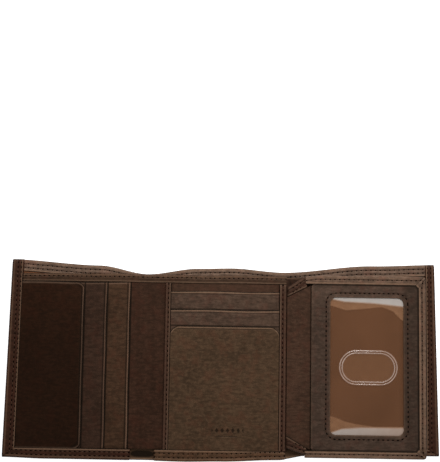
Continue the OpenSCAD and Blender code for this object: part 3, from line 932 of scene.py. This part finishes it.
low, high = corners("id_window")
frame_low, frame_high = corners("page_frame")
sheet_top = frame_low[2]
WINDOW_MARGIN = 3.0
window = (low[0] + WINDOW_MARGIN, high[0] - WINDOW_MARGIN,
          low[1] + WINDOW_MARGIN, high[1] - WINDOW_MARGIN)
thumb_points = np.array([v.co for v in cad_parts["id_window"].data.vertices]) / MM
thumb_points = thumb_points[thumb_points[:, 2] > sheet_top + 0.1]
thumb_low, thumb_high = thumb_points.min(0), thumb_points.max(0)
thumb_mid = (thumb_low + thumb_high) / 2
thumb_r = (thumb_high[1] - thumb_low[1]) / 2
thumb_reach = (thumb_high[0] - thumb_low[0]) / 2 - thumb_r
RIDGE_W = 1.7
RIDGE_H = 0.32
RIDGE_LINE = 0.28


def from_thumb_edge(x, y):
    """Distance inwards from the outer edge of the oval ridge."""
    past = np.maximum(np.abs(x - thumb_mid[0]) - thumb_reach, 0)
    return thumb_r - np.hypot(past, y - thumb_mid[1])


grid_x, grid_y = np.meshgrid(np.arange(low[0], high[0], 0.36), np.arange(low[1], high[1], 0.36),
                             indexing="ij")
inwards = from_thumb_edge(grid_x, grid_y)
ridge = RIDGE_H * (hump(inwards - 0.35, RIDGE_LINE) + hump(inwards - RIDGE_W + 0.1, RIDGE_LINE))
span_x = unit((grid_x - window[0]) / (window[1] - window[0]))
span_y = unit((grid_y - window[2]) / (window[3] - window[2]))
swell = 0.30 * np.sin(math.pi * span_x) ** 0.7 * np.sin(math.pi * span_y) ** 0.5
swell += 0.05 * np.sin(grid_x / 6.1 + grid_y / 11) * np.sin(math.pi * span_y)
# Banks at head and foot: haze, partly the sheet's own and partly painted reflection; glare,
# painted reflection.
HEAD_BANK = ([0, 0.2, 0.4, 0.7, 0.85, 1], [4.5, 6.9, 6.2, 4.9, 7.2, 12])
HEAD_GLARE = ([0, 0.06, 0.2, 0.6, 1], [0.2, 1.2, 2.3, 3.0, 4.6])
FOOT_BANK = ([0, 0.1, 0.2, 0.35, 0.6, 1], [10, 9, 7.2, 5.8, 4.5, 4.6])
FOOT_GLARE = ([0, 0.15, 0.4, 1], [1.0, 3.2, 4.0, 4.2])
across_u = span_x + 0.012 * np.sin(grid_y / 1.7)
banks = {}
for at_end, bank, glare, strength in (
        (window[3] - grid_y, HEAD_BANK, HEAD_GLARE, 1),
        (grid_y - window[2], FOOT_BANK, FOOT_GLARE, 0.95 - 0.3 * across_u)):
    reach, bright = np.interp(across_u, *bank), np.interp(across_u, *glare)
    banks["haze"] = np.maximum(banks.get("haze", 0), unit((reach - at_end) / 0.5 + 0.5)
                               * unit(1.15 - 0.5 * (reach - at_end) / reach))
    banks["glare"] = np.maximum(banks.get("glare", 0), strength
                                * unit((bright - at_end) / 1.1 + 0.5))
banks["haze"] = np.maximum(banks["haze"], 0.35 * unit((inwards - RIDGE_W) / 0.6))
sheet_marks = {"ridge": unit(ridge / RIDGE_H), **banks}
clear_sheet = slab("window_sheet", np.dstack([grid_x, grid_y]),
                   0 * grid_x + high[2] - 0.28 + swell * 0.6 + ridge,
                   0 * grid_x + low[2] + 0.02 + swell * 0.6, sheet_marks)

clear, shader, place = new_finish("clear_sheet")
streak = place.noise(4.0, 3.0)
# Colour and opacity carry painted reflection in the glare and haze, and painted highlight on the
# ridge.
cloud_and_glare = (place.mark("haze") * (streak * 0.2 + 0.12) + place.mark("glare") * 0.6
         + place.mark("ridge") * (streak * 0.6 + 0.26) + 0.02)
tint = place.mark("ridge").blend_colour(paint("#c8946c"), paint("#e0cdc4"))
wire_up(shader, Base_Color=place.mark("glare").blend_colour(tint, paint("#b4aba4")),
        Alpha=cloud_and_glare, Roughness=place.mark("haze") * 0.2 + 0.16,
        Normal=place.noise(9.0, 2.0).bump(0.5, 0.25), Specular_IOR_Level=0.6)
finish_piece(clear_sheet, clear, "clear_sheet", "id_page", "id_window")


# ---------------------------------------------------------------- ID page: window frame
# Leather with a round-cornered opening, laid over the clear sheet and sewn to it with a row
# of stitches round the opening. It is made as a ring of leather about the opening.

CORNER = 3.1
FRAME_ROW = 2.35


def round_corner_loop(x0, x1, y0, y1, radius, count):
    """Points round a rectangle with round corners, and the same number on each side."""
    arcs = []
    for k, (cx, cy) in enumerate(((x1 - radius, y1 - radius), (x0 + radius, y1 - radius),
                                  (x0 + radius, y0 + radius), (x1 - radius, y0 + radius))):
        turn = np.linspace(k * math.pi / 2, (k + 1) * math.pi / 2, 9)
        arcs.append(points_at(cx + radius * np.cos(turn), cy + radius * np.sin(turn)))
    ring = []
    for k, arc in enumerate(arcs):
        ring += [arc, np.linspace(arc[-1], arcs[(k + 1) % 4][0], count[k % 2] + 1)[1:-1]]
    return np.vstack([*ring, arcs[0][:1]])


opening = round_corner_loop(*window, CORNER, (26, 48))
frame_leather = leather("frame_leather", "#45362d", grain=0.8, depth=0.045, roughness=0.5)
centre = np.array([(window[0] + window[1]) / 2, (window[2] + window[3]) / 2])
out_low, out_high = frame_low[:2] - [0.2, 0.5], frame_high[:2] + [0.5, 0.5]
rays = opening - centre
reach_x = np.where(rays[:, 0] > 0, out_high[0] - centre[0], out_low[0] - centre[0])
reach_y = np.where(rays[:, 1] > 0, out_high[1] - centre[1], out_low[1] - centre[1])
half_w, half_h = (window[1] - window[0]) / 2, (window[3] - window[2]) / 2
side_like = np.abs(rays[:, 0]) / half_w >= np.abs(rays[:, 1]) / half_h
outer = np.where(side_like[:, None],
                 points_at(centre[0] + reach_x,
                           centre[1] + rays[:, 1] / half_h * np.abs(reach_y)),
                 points_at(centre[0] + rays[:, 0] / half_w * np.abs(reach_x),
                           centre[1] + reach_y))
across = np.array(sorted({*nose(0.35), *[FRAME_ROW + CHANNEL * k for k in
                                         (-2, -1.2, -0.5, 0, 0.5, 1.2, 2)], 0.9, 4.0}))
width = np.hypot(*(outer - opening).T)
points, depth_in = [], []
for d in across:
    step = np.minimum(d / width, 1)[:, None]
    points.append(opening + (outer - opening) * step)
    depth_in.append(d + 0 * width)
for share in (0.62, *(1 - rest / width for rest in (1.7, 1.3, 0.9, 0.5, 0))):
    points.append(opening + (outer - opening) * np.maximum(share, 4.3 / width)[:, None])
    depth_in.append(np.maximum(share * width, 4.3))
points = np.stack(points, axis=1)
near_x = np.maximum(np.maximum(window[0] - points[..., 0], points[..., 0] - window[1]), 0)
near_y = np.maximum(np.maximum(window[2] - points[..., 1], points[..., 1] - window[3]), 0)
cut_x = np.maximum(np.abs(points[..., 0] - centre[0]) - (half_w - CORNER), 0)
cut_y = np.maximum(np.abs(points[..., 1] - centre[1]) - (half_h - CORNER), 0)
from_opening = np.where((cut_x > 0) & (cut_y > 0), np.hypot(cut_x, cut_y) - CORNER,
                        np.maximum(near_x, near_y))
from_opening = np.maximum(from_opening, 0)
dent = hump(from_opening - FRAME_ROW, CHANNEL)
rim = points[..., 0] - out_low[0]
top = frame_high[2] - drop(from_opening, 0.35) - 0.14 * dent - drop(rim, 0.3)
from_border = np.minimum(out_high[0] - points[..., 0],
                         np.minimum(out_high[1] - points[..., 1], points[..., 1] - out_low[1]))
# Painted shade: the frame is darker on its right side and, less, on its left and foot; lightest at
# top.
frame_shade = (0.5 * unit((points[..., 0] - window[1] + 2) / 3)
              + 0.3 * unit((window[3] + 1 - points[..., 1]) / 8)
              * unit((window[1] - points[..., 0]) / 8))
# Marks: pale rubbed edge with painted highlight, painted shadow under the border, painted shade.
window_frame = slab("window_frame_leather", points, top, frame_low[2] - 0.05,
                    {"edge": np.exp(-from_opening / 0.4) * 0.6 + 0.4 * np.exp(-rim / 0.4),
                     "gap_shadow": 0.85 * unit((1.3 - from_border) / 0.4),
                     "groove_shade": np.maximum(dent, frame_shade)}, closed=True)
finish_piece(window_frame, frame_leather, "inner_leather", "id_page", "page_frame")


# ---------------------------------------------------------------- ID page: turned border
# A strip turned round the page's three free edges, sewn with one row and gathered into small
# pleats where it goes round the two outer corners.

border_leather = leather("border_leather", "#5d493c", grain=0.75, depth=0.05, roughness=0.47)
low, high = corners("page_border_top", "page_border_side", "page_border_bottom")
inner_low, inner_high = corners("page_frame")
BORDER_CORNER = 1.6
INNER_CORNER = 2.6
BORDER_ROW = 2.2
PLEAT_PITCH = 1.1
PLEAT_REACH = 5.5


def border_path(x_start, x_end, y_foot, y_head, radius):
    """Points from the fold along the foot, up the free side and back along the head."""
    near = np.arange(0, 0.09, 0.008)
    shares = np.array(sorted({*np.linspace(0, 1, 50), *(1 - near)}))
    side_shares = np.array(sorted({*np.linspace(0, 1, 60), *(near / 1.5), *(1 - near / 1.5)}))
    foot_x = x_start + (x_end - radius - x_start) * shares
    side_y = y_foot + radius + (y_head - y_foot - 2 * radius) * side_shares
    turn = np.linspace(0, math.pi / 2, 11)[1:-1]
    low_arc = points_at(x_end - radius + radius * np.sin(turn),
                        y_foot + radius - radius * np.cos(turn))
    high_arc = points_at(x_end - radius + radius * np.cos(turn),
                         y_head - radius + radius * np.sin(turn))
    return np.vstack([points_at(foot_x, y_foot), low_arc, points_at(x_end, side_y), high_arc,
                      points_at(foot_x, y_head)[::-1]])


border_outer = border_path(low[0], high[0], low[1], high[1], BORDER_CORNER)
border_inner = border_path(low[0], inner_high[0], inner_low[1], inner_high[1],
                           INNER_CORNER)
head_rise = unit((border_outer[:, 0] - low[0]) / 6)
border_outer[:, 1] -= np.where(border_outer[:, 1] > 0, 1 - head_rise, 0)
corner_at = np.array([[high[0], low[1]], [high[0], high[1]]])
from_corner = np.min([np.hypot(*(border_outer - c).T) for c in corner_at], axis=0)
ripples = np.cos(from_corner / PLEAT_PITCH * math.pi) ** 2 * hump(from_corner, PLEAT_REACH)
border = turned("page_border_leather", border_outer, border_inner, (low[2], high[2]),
                (BORDER_ROW,), (0.75, 0.35), 0.1, pleats=1.2 * ripples)
finish_piece(border, border_leather, "edge_leather", "id_page",
             "page_border_top", "page_border_side", "page_border_bottom")


# ---------------------------------------------------------------- ID page: tongue
# The page's leather runs on to the fold as a tongue, cut narrower towards the fold and edged
# with two sewn strips. It carries the page, which turns with it.

low, high = corners("page_tongue")
strip_low, strip_high = corners("tongue_binding_top")
strip_foot_y = corners("tongue_binding_bottom")[0][1]


def slanted(x_at, y_at, slope, limit, side):
    """A straight edge through a point, cut off at a height; side is 1 at the head."""
    return lambda x: side * np.minimum(side * (y_at + slope * (x - x_at)), side * limit)


strip_head = slanted(35.6, 40.9, 0.65, strip_high[1], 1)
tongue_top = slanted(35.6, 35.5, 0.51, inner_high[1], 1)
strip_foot = slanted(36.6, -46.2, -0.32, strip_foot_y, -1)
tongue_foot = slanted(36.5, -39.9, -0.57, inner_low[1], -1)
TONGUE_ROWS = (1.7, 3.6)
TONGUE_ROW_SHARES = (0.36, 0.78)
tongue_leather = leather("tongue_leather", "#39271d", grain=0.8, depth=0.05, roughness=0.5)
sewn_end = corners("border_strip_right")[1][0] + 0.45
bend_at_tongue = bending("right_panel", "id_page", sewn_end, low[0])
frame_left = out_low[0]
tongue = panel("page_tongue_leather", (sewn_end, high[0] + 0.3), (tongue_foot, tongue_top),
               (low[2], high[2]), step=0.8, extra_x=frame_left + np.array([-0.7, -0.5, -0.2]),
               shadow=lambda x, y: 0.9 * unit((x - frame_left + 0.7) / 0.2))
finish_piece(tongue, tongue_leather, "inner_leather", bend_at_tongue, "page_tongue")

for node, outer_of, inner_of in (("tongue_binding_top", strip_head, tongue_top),
                                 ("tongue_binding_bottom", strip_foot, tongue_foot)):
    low, high = corners(node)
    x = stations(sewn_end, high[0] + 0.6, 0.6)
    strip = turned(node + "_leather", points_at(x, outer_of(x)), points_at(x, inner_of(x)),
                   (low[2], high[2]), TONGUE_ROWS, (0.5, 0.35), 0.1, ends=("start",))
    finish_piece(strip, strip_leather, "edge_leather", bend_at_tongue, node)


# ---------------------------------------------------------------- Thread
# Twisted brown thread, pulled down into the channels. One stitch and one needle hole, a
# near-black patch of painted shade, are modelled and copied along every row. The rows that
# cross a fold bend with the leather.

STITCH_PITCH = 2.6
STITCH_HALF = 0.8


def ball(rings, size, turn=0.0):
    """A small ball, turned about Y and squeezed to a size in millimetres."""
    bpy.ops.object.select_all(action="DESELECT")
    bpy.ops.mesh.primitive_uv_sphere_add(segments=8, ring_count=rings, radius=1)
    bpy.ops.object.mode_set(mode="EDIT")
    bpy.ops.mesh.select_all(action="SELECT")
    bpy.ops.transform.rotate(value=turn, orient_axis="Y", center_override=(0, 0, 0))
    bpy.ops.transform.resize(value=size)
    bpy.ops.object.mode_set(mode="OBJECT")
    return bpy.context.active_object


model_stitch = ball(8, (STITCH_HALF, 0.27, 0.18), math.pi / 2)
for v in model_stitch.data.vertices:
    v.co.z -= 0.16 * (v.co.x / STITCH_HALF) ** 2
    v.co.y += 0.07 * v.co.x
model_hole = ball(4, (0.58, 0.38, 0.1))

thread, shader, place = new_finish("thread")
ply = place.node("ShaderNodeTexWave", {"bands_direction": "DIAGONAL"},
                 {"Vector": place, "Scale": 0.31 / (0.4 * MM)}, "Fac")
thread_colour = ply.blend_colour(shade(paint("#402819"), 0.7), shade(paint("#402819"), 1.3))
wire_up(shader, Base_Color=thread_colour, Normal=ply.bump(0.7, 0.08),
        Roughness=ply * 0.1 + 0.5, Specular_IOR_Level=0.15)
# The needle hole is painted near-black: painted shade for the hole's dark inside.
needle_hole_shade, shader, place = new_finish("needle_hole_shade")
wire_up(shader, Base_Color=place.noise(0.5).blend_colour(paint("#050302"), paint("#0b0604")),
        Roughness=0.8, Specular_IOR_Level=0.0)


SUNK = 0.17
OUTSIDE_Z = shell_low[2] + 0.06


def sew(name, node, way, rows, seen_below=(), below_z=OUTSIDE_Z):
    """Copies the stitch and the hole along rows of (points, height) and joins the copies.

    seen_below are the rows that also show on the lower face, which is at below_z.
    """
    verts, faces, kinds, count = [], [], [], 0
    for path, height, face in [*[(*row, 1) for row in rows],
                               *[(row[0], below_z, -1) for row in seen_below]]:
        path = np.array(path, float)
        run = np.concatenate([[0], np.cumsum(np.hypot(*np.diff(path, axis=0).T))])
        number = max(1, round((run[-1] - 0.8) / STITCH_PITCH))
        at = np.linspace(0.4, run[-1] - 0.4, number + 1)
        middles = (at[:-1] + at[1:]) / 2
        for model, places, lift, kind in ((model_stitch, middles, 0.05, 0),
                                          (model_hole, at, 0.09, 1)):
            shape = np.array([v.co for v in model.data.vertices])
            sides = [tuple(p.vertices) for p in model.data.polygons]
            for distance in places:
                before, here, ahead = [
                    np.array([np.interp(distance + d, run, path[:, k]) for k in (0, 1)])
                    for d in (-0.2, 0, 0.2)]
                x, y = here
                turn = math.atan2(*(ahead - before)[::-1])
                c, q = math.cos(turn), math.sin(turn)
                verts.append(np.column_stack([shape[:, 0] * c - shape[:, 1] * q + x,
                                              shape[:, 0] * q + shape[:, 1] * c + y,
                                              (shape[:, 2] + lift) * face + height]))
                faces += [tuple(count + k for k in side)[::face] for side in sides]
                kinds += [kind] * len(sides)
                count += len(shape)
    mesh = bpy.data.meshes.new(name)
    mesh.from_pydata(np.concatenate(verts) * MM, [], faces)
    mesh.materials.append(thread)
    mesh.materials.append(needle_hole_shade)
    mesh.polygons.foreach_set("material_index", kinds)
    mesh.polygons.foreach_set("use_smooth", [True] * len(kinds))
    mesh.update()
    piece = bpy.data.objects.new(name, mesh)
    bpy.context.scene.collection.objects.link(piece)
    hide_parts(node)
    move_with(piece, way)


rim_z = corners("side_hem_left")[1][2] - SUNK
slip_rim_z = corners("side_hem_right")[1][2] - SUNK
top_hem_z = corners("top_hem_middle")[1][2] - SUNK
binding_z = corners("top_binding_middle")[1][2] - SUNK + 0.06
strip_z = corners("border_strip_left")[1][2] - SUNK
page_z = corners("page_border_top")[1][2] - SUNK + 0.05
frame_z = frame_high[2] - 0.15


def shell_row(x0, x1, side, row, z):
    """A row that follows the shell's edge."""
    x = np.arange(x0, x1 + 0.01, 0.5)
    return along_shell(x, side, row), z


def side_row(x, foot, head, z):
    """A straight row that runs up and down."""
    return [(x, foot), (x, head)], z


flap_x0, right_x1 = shell_low[0], shell_high[0]
CORNER_CLEAR, HEM_CLEAR, HEM_EXTRA = 0.6, 0.4, 0.15
SIDE_FOOT, SIDE_HEAD = 4.6, 1.6
flap_rows, middle_rows, right_rows = [], [], []
binding_y = binding_high[1] + BINDING_LIP - BINDING_ROW[0]
for row in ROWS:
    flap_rows += [shell_row(flap_x0 + row + CORNER_CLEAR, flap_bend[0], -1, row, rim_z),
                  shell_row(HEM_CLEAR - hem_inner, flap_bend[1], 1, row + HEM_EXTRA, top_hem_z)]
    middle_rows.append(shell_row(flap_bend[1], corners("bottom_hem_middle")[1][0], -1, row,
                                 rim_z))
    right_rows += [shell_row(flap_bend[1], hem_inner - HEM_CLEAR, 1, row + HEM_EXTRA, top_hem_z),
                   shell_row(right_bend[1], right_x1 - row - CORNER_CLEAR, -1, row, slip_rim_z)]
for row in SIDE_ROWS:
    x = hem_inner + row
    flap_rows.append(([(-x, shell_edge(-x, -1) + SIDE_FOOT - row),
                       (FLAP_LEAN - x, shell_edge(-x, 1) - SIDE_HEAD)], rim_z))
    right_rows.append(side_row(x, shell_edge(x, -1) + SIDE_FOOT - row,
                               shell_edge(x, 1) - SIDE_HEAD, slip_rim_z))
hem_rows = [list(rows) for rows in (flap_rows, middle_rows, right_rows)]
flap_rows.append(([(flap_x0 + 6.6, binding_y), (flap_bend[1], binding_y)], binding_z))
middle_rows.append(([(flap_bend[1], binding_y), (binding_high[0], binding_y)], binding_z))
for node, row in STRIP_ROWS.items():
    low, high = corners(node)
    row_x = low[0] + row if node.endswith("left") else high[0] - row
    middle_rows.append(side_row(row_x, low[1], high[1], strip_z))
sew("thread_flap", "stitching_left", bend_at_flap, flap_rows, hem_rows[0])
sew("thread_middle", "stitching_middle", "middle_panel", middle_rows, hem_rows[1])
sew("thread_right", "stitching_right", bend_at_right, right_rows, hem_rows[2])

step_in = border_inner - border_outer
inset = BORDER_ROW / np.maximum(strip_width(border_outer, border_inner), BORDER_ROW + 0.1)
page_rows = [(border_outer + step_in * inset[:, None], page_z)]
ring = round_corner_loop(window[0] - FRAME_ROW, window[1] + FRAME_ROW, window[2] - FRAME_ROW,
                         window[3] + FRAME_ROW, CORNER + FRAME_ROW, (26, 48))
page_rows.append((ring, frame_z))
strip_top_z = corners("tongue_binding_top")[1][2] - SUNK + 0.05
for outer_of, inner_of in ((strip_head, tongue_top), (strip_foot, tongue_foot)):
    for share in TONGUE_ROW_SHARES:
        page_rows.append(([(x, outer_of(x) * (1 - share) + inner_of(x) * share)
                           for x in np.arange(strip_low[0], strip_high[0], 0.5)], strip_top_z))
page_under_z = corners("page_border_top")[0][2] + 0.14
sew("thread_page", "page_stitching", "id_page", page_rows, page_rows[:1], page_under_z)
for model in (model_stitch, model_hole):
    bpy.data.objects.remove(model)


# ---------------------------------------------------------------- Floor, light and camera
# A pale table top and soft light from large panels. The camera looks down at the wallet from
# in front, a few degrees off upright, so that the wallet lies low in the picture.

bpy.ops.object.select_all(action="DESELECT")
bpy.ops.mesh.primitive_plane_add(size=6, location=(0, 0, -0.0003))
floor = bpy.context.active_object
floor.name = "floor"
pale, shader, place = new_finish("pale_floor")
wire_up(shader, Base_Color=place.noise(300.0).blend_colour((0.9, 0.9, 0.9, 1),
                                                           (0.93, 0.93, 0.93, 1)),
        Roughness=0.9, Emission_Color=(1, 1, 1, 1), Emission_Strength=0.8)
floor.data.materials.append(pale)


def light_panel(name, place, aim, size, power):
    """A square soft light at a place, turned towards a point."""
    lamp = bpy.data.lights.new(name, "AREA")
    lamp.size = size
    lamp.energy = power
    holder = bpy.data.objects.new(name, lamp)
    bpy.context.scene.collection.objects.link(holder)
    holder.location = place
    direction = np.array(aim, float) - np.array(place, float)
    pitch = math.acos(-direction[2] / np.linalg.norm(direction))
    holder.rotation_euler = (pitch, 0, math.atan2(-direction[0], direction[1]))


light_panel("key_light", (0.05, 0.34, 0.36), (0, 0.02, 0), 0.24, 2.3)
light_panel("side_light", (0.7, -0.1, 0.4), (0, 0, 0), 0.4, 1.3)
light_panel("front_light", (-0.3, -0.7, 0.6), (0, 0, 0), 0.5, 1.0)

world = bpy.data.worlds.new("studio")
bpy.context.scene.world = world
world.use_nodes = True
world.node_tree.nodes["Background"].inputs["Color"].default_value = (1, 1, 1, 1)
world.node_tree.nodes["Background"].inputs["Strength"].default_value = 0.27
bpy.context.scene.view_settings.view_transform = "Standard"

CAMERA_AT = (-1.46, 19.07, 520.0)
TILT = 5.74
ROLL = 0.9
FOCAL_LENGTH = 73.543
camera = bpy.data.cameras.new("camera")
camera.sensor_width = 36
camera.lens = FOCAL_LENGTH
eye = bpy.data.objects.new("camera", camera)
bpy.context.scene.collection.objects.link(eye)
eye.location = [c * MM for c in CAMERA_AT]
eye.rotation_euler = (math.radians(TILT), 0, math.radians(ROLL))
bpy.context.scene.camera = eye
